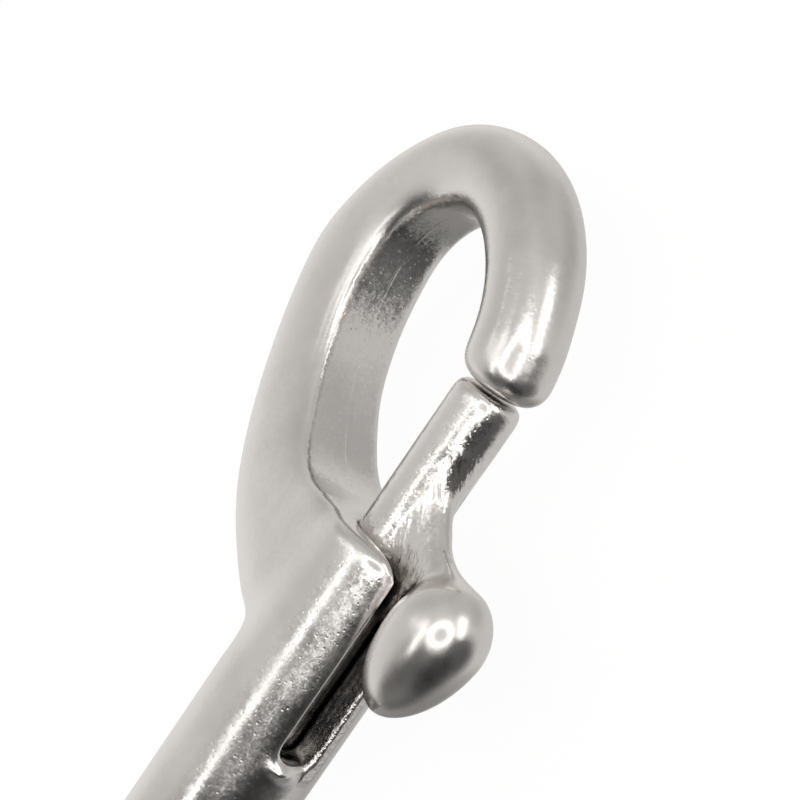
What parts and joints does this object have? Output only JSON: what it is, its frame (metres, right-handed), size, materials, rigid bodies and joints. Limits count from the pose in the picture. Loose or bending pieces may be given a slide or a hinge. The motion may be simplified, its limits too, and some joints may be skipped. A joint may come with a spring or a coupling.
{
  "type": "swivel snap hook",
  "caption": "Cast stainless snap hook with a sprung sliding bolt, a teardrop thumb knob and a swivelling eye.",
  "frame": {"origin": "centre of the swivel eye's hole", "axes": "+X along the barrel towards the hook, +Y towards the hook's spine, +Z along the eye's hole, square to the hook's plane"},
  "size_m": [0.1, 0.0455, 0.012],
  "materials": {
    "cast_steel": "satin cast and tumbled",
    "bolt_steel": "bright cast, knob polished",
    "spring_wire": "drawn wire",
    "eye_steel": "satin cast and tumbled"
  },
  "bodies": {
    "hook": {"hook_body": "cast_steel", "spring": "spring_wire"},
    "bolt": {"plunger": "bolt_steel"},
    "swivel": {"swivel_eye": "eye_steel"}
  },
  "joints": [
    {"name": "bolt_slide", "type": "slide", "parent": "hook", "child": "bolt", "axis": [1, 0, 0], "range_m": [-0.012, 0], "stiffness_N_per_m": 600, "springref_m": 0.005, "deforming": ["spring"]},
    {"name": "swivel_turn", "type": "hinge", "parent": "hook", "child": "swivel", "pos_m": [0.015, 0, 0], "axis": [1, 0, 0], "continuous": true}
  ]
}
